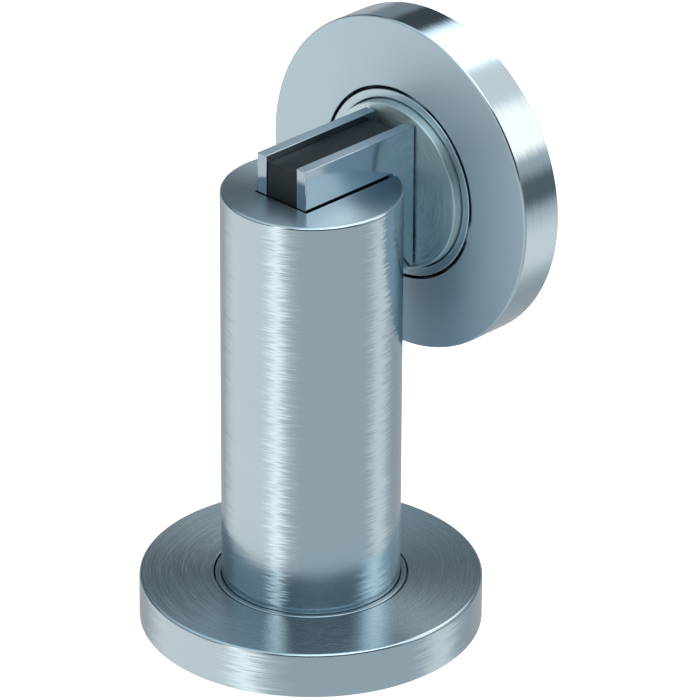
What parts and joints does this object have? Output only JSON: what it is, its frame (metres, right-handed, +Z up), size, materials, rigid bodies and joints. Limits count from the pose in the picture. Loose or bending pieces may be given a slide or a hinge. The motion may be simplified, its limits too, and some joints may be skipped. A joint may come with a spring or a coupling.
{
  "type": "magnetic door stop",
  "caption": "Floor-mounted round post with a swivelling magnet fork in its head, which holds a disc in a round door-mounted rose.",
  "frame": {"origin": "on the floor, where the post's axis meets it", "axes": "+Z up along the post, +Y from the post towards the door, +X to the right when looking along +Y"},
  "size_m": [0.048, 0.048, 0.0849],
  "materials": {
    "satin_steel": "satin brushed",
    "plate_steel": "zinc-plated, dull",
    "pole_steel": "ground and nickel-plated",
    "disc_steel": "fine turned and brushed",
    "carrier_black": "satin moulded",
    "magnet_core": "sintered, matt",
    "black_rubber": "moulded, matt",
    "bush_bronze": "turned",
    "screw_steel": "bright zinc"
  },
  "bodies": {
    "floor_unit": {"floor_mounting_plate": "plate_steel", "floor_rose_ring": "black_rubber", "post": "satin_steel", "post_screw": "screw_steel", "locating_pin": "screw_steel", "swivel_bush": "bush_bronze", "swivel_grub_screw": "screw_steel"},
    "floor_cover": {"floor_rose": "satin_steel"},
    "magnet_fork": {"pole_plate_left": "pole_steel", "pole_plate_right": "pole_steel", "magnet_carrier": "carrier_black", "magnet": "magnet_core", "fork_rivets": "screw_steel", "swivel_pin": "screw_steel"},
    "door_unit": {"door_rose": "satin_steel", "door_mounting_plate": "plate_steel", "door_rose_ring": "black_rubber", "armature_cup": "satin_steel", "armature_buffer": "black_rubber"},
    "armature": {"armature_disc": "disc_steel", "armature_stem": "screw_steel", "armature_clip": "screw_steel"}
  },
  "joints": [
    {"name": "floor_rose_lift", "type": "slide", "parent": "floor_unit", "child": "floor_cover", "axis": [0, 0, 1], "range_m": [0, 0.028]},
    {"name": "fork_swivel", "type": "hinge", "parent": "floor_unit", "child": "magnet_fork", "pos_m": [0, 0.003, 0.0504], "axis": [0, 0, 1], "range_deg": [-1.5, 1.5]},
    {"name": "door_travel", "type": "slide", "parent": "floor_unit", "child": "door_unit", "axis": [0, 1, 0], "range_m": [0, 0.06]},
    {"name": "armature_float", "type": "slide", "parent": "door_unit", "child": "armature", "axis": [0, 1, 0], "range_m": [0, 0.001]}
  ]
}
